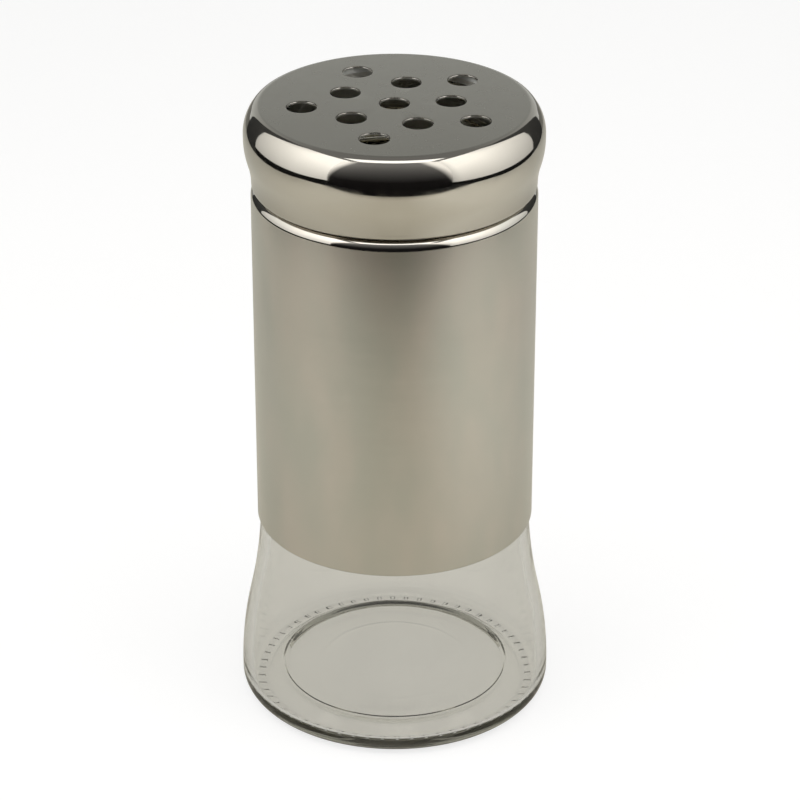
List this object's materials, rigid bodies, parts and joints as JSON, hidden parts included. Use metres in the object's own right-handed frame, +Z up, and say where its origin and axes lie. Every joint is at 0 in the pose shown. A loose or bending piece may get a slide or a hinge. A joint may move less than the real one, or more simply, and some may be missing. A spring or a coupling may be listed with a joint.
{
  "type": "pepper flake shaker",
  "caption": "Glass shaker with a flared clear foot, a brushed steel sleeve over its body and a polished steel screw cap with round pour holes.",
  "frame": {"origin": "middle of the base, on the surface that the jar stands on", "axes": "+Z up along the axis of the jar, sleeve and cap; +X and +Y across the base"},
  "size_m": [0.059, 0.059, 0.1193],
  "materials": {
    "clear_glass": "clear pressed glass",
    "brushed_sleeve": "satin, brushed round its axis",
    "polished_cap": "polished skirt and crown, fine satin top",
    "insert_plastic": "moulded, natural white",
    "washer_rubber": "soft translucent sheet"
  },
  "bodies": {
    "jar": {"glass_jar": "clear_glass", "steel_sleeve": "brushed_sleeve"},
    "washer": {"sealing_washer": "washer_rubber"},
    "cap": {"cap_shell": "polished_cap", "thread_insert": "insert_plastic"}
  },
  "joints": [
    {"name": "cap_lift", "type": "slide", "parent": "jar", "child": "washer", "axis": [0, 0, 1], "range_m": [0, 0.006]},
    {"name": "cap_turn", "type": "hinge", "parent": "washer", "child": "cap", "pos_m": [0, 0, 0.104], "axis": [0, 0, 1], "range_deg": [0, 540]}
  ],
  "couplings": [
    {"joint": "cap_lift", "follows": "cap_turn", "m_per_rad": 0.00063661}
  ]
}
